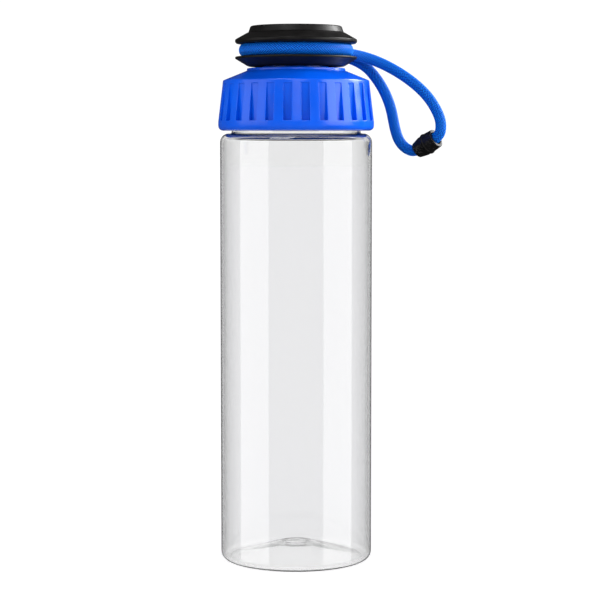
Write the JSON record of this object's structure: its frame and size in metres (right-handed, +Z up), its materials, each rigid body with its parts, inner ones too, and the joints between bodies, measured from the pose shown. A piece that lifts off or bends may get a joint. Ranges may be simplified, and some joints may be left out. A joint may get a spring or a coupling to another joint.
{
  "type": "sports drinking bottle",
  "caption": "Clear rigid sports bottle with a fluted screw lid, a narrow threaded spout under a spool-shaped screw cap, and a braided carry cord looped round the cap.",
  "frame": {"origin": "middle of the base, on the plane that the bottle stands on", "axes": "+Z up along the bottle's axis; +X towards the side where the cord loop hangs"},
  "size_m": [0.1062, 0.0716, 0.2473],
  "materials": {
    "clear_plastic": "clear, glossy copolyester",
    "blue_plastic": "satin moulded",
    "black_plastic": "satin moulded",
    "silicone": "matt translucent",
    "blue_cord": "braided polyester"
  },
  "bodies": {
    "bottle": {"bottle_body": "clear_plastic"},
    "lid_slider": {"lid_gasket": "silicone"},
    "lid": {"screw_lid": "blue_plastic"},
    "cap_slider": {"spout_seal": "silicone"},
    "cap": {"cap_core": "black_plastic", "cap_crown": "black_plastic", "cap_cover": "black_plastic"},
    "cord_ring": {"cord_turn": "blue_cord"},
    "cord_loop": {"cord_outer_leg": "blue_cord", "cord_inner_leg": "blue_cord", "connector_socket": "black_plastic", "connector_plug": "black_plastic"}
  },
  "joints": [
    {"name": "lid_lift", "type": "slide", "parent": "bottle", "child": "lid_slider", "axis": [0, 0, 1], "range_m": [0, 0.0225]},
    {"name": "lid_turn", "type": "hinge", "parent": "lid_slider", "child": "lid", "pos_m": [0, 0, 0.2105], "axis": [0, 0, 1], "range_deg": [0, 900]},
    {"name": "cap_lift", "type": "slide", "parent": "lid", "child": "cap_slider", "axis": [0, 0, 1], "range_m": [0, 0.0135]},
    {"name": "cap_turn", "type": "hinge", "parent": "cap_slider", "child": "cap", "pos_m": [0, 0, 0.2345], "axis": [0, 0, 1], "range_deg": [0, 810]},
    {"name": "cord_swivel", "type": "hinge", "parent": "cap", "child": "cord_ring", "pos_m": [0, 0, 0.236], "axis": [0, 0, 1], "continuous": true},
    {"name": "loop_swing", "type": "hinge", "parent": "cord_ring", "child": "cord_loop", "pos_m": [0.02858, 0.02191, 0.23456], "axis": [0.675, -0.7345, 0.0701], "range_deg": [0, 115]}
  ],
  "couplings": [
    {"joint": "lid_lift", "follows": "lid_turn", "m_per_rad": 0.0014324},
    {"joint": "cap_lift", "follows": "cap_turn", "m_per_rad": 0.00095493}
  ]
}
